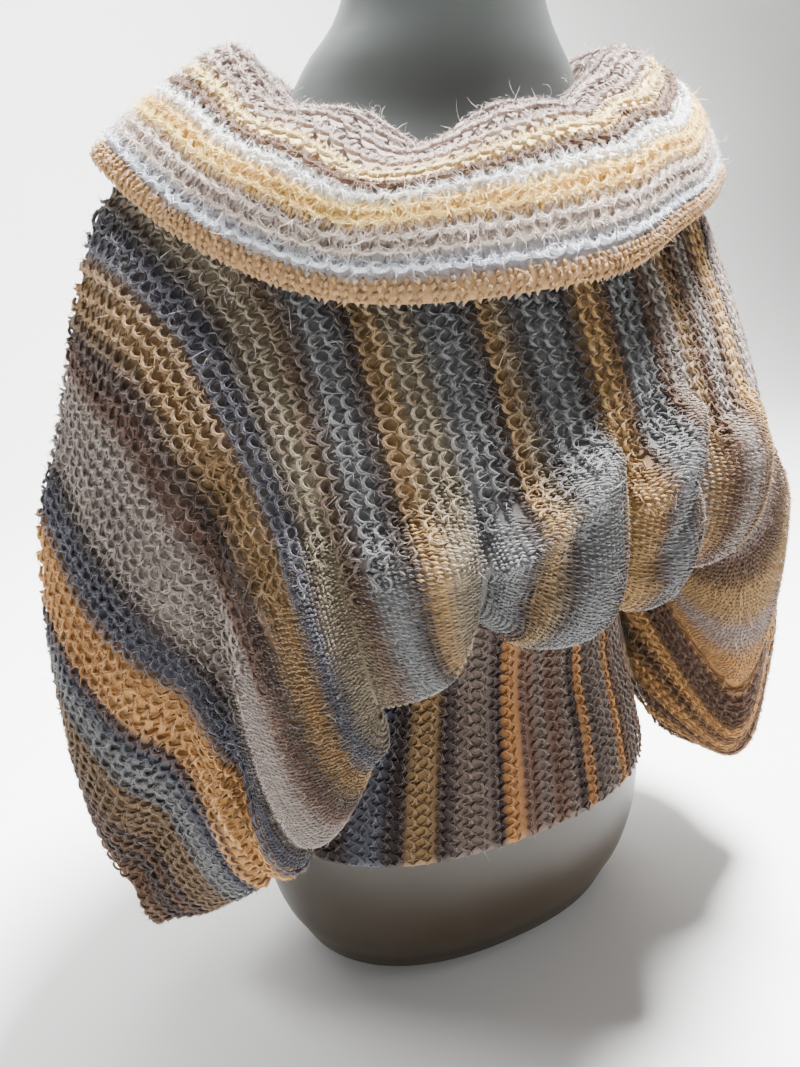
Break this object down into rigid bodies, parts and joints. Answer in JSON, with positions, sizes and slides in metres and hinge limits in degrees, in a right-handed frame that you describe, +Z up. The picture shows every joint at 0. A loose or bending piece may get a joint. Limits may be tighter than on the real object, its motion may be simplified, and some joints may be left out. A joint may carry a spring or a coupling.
{
  "type": "knit batwing top on a limbless dress form",
  "caption": "Striped mohair batwing top with a fold-over cowl collar and a gathered waistband, standing on a smooth limbless dress form.",
  "frame": {"origin": "centre of the dress form's flat base", "axes": "+Z up along the form, -Y the way the wearer faces, +X the wearer's left"},
  "size_m": [0.5357, 0.3622, 0.685],
  "materials": {
    "form_plastic": "satin",
    "band_knit": "brushed garter knit",
    "panel_knit": "brushed open knit",
    "collar_knit": "brushed garter knit"
  },
  "bodies": {
    "root": {"dress_form": "form_plastic", "waistband": "band_knit", "front": "panel_knit", "back": "panel_knit", "collar": "collar_knit"}
  },
  "joints": []
}
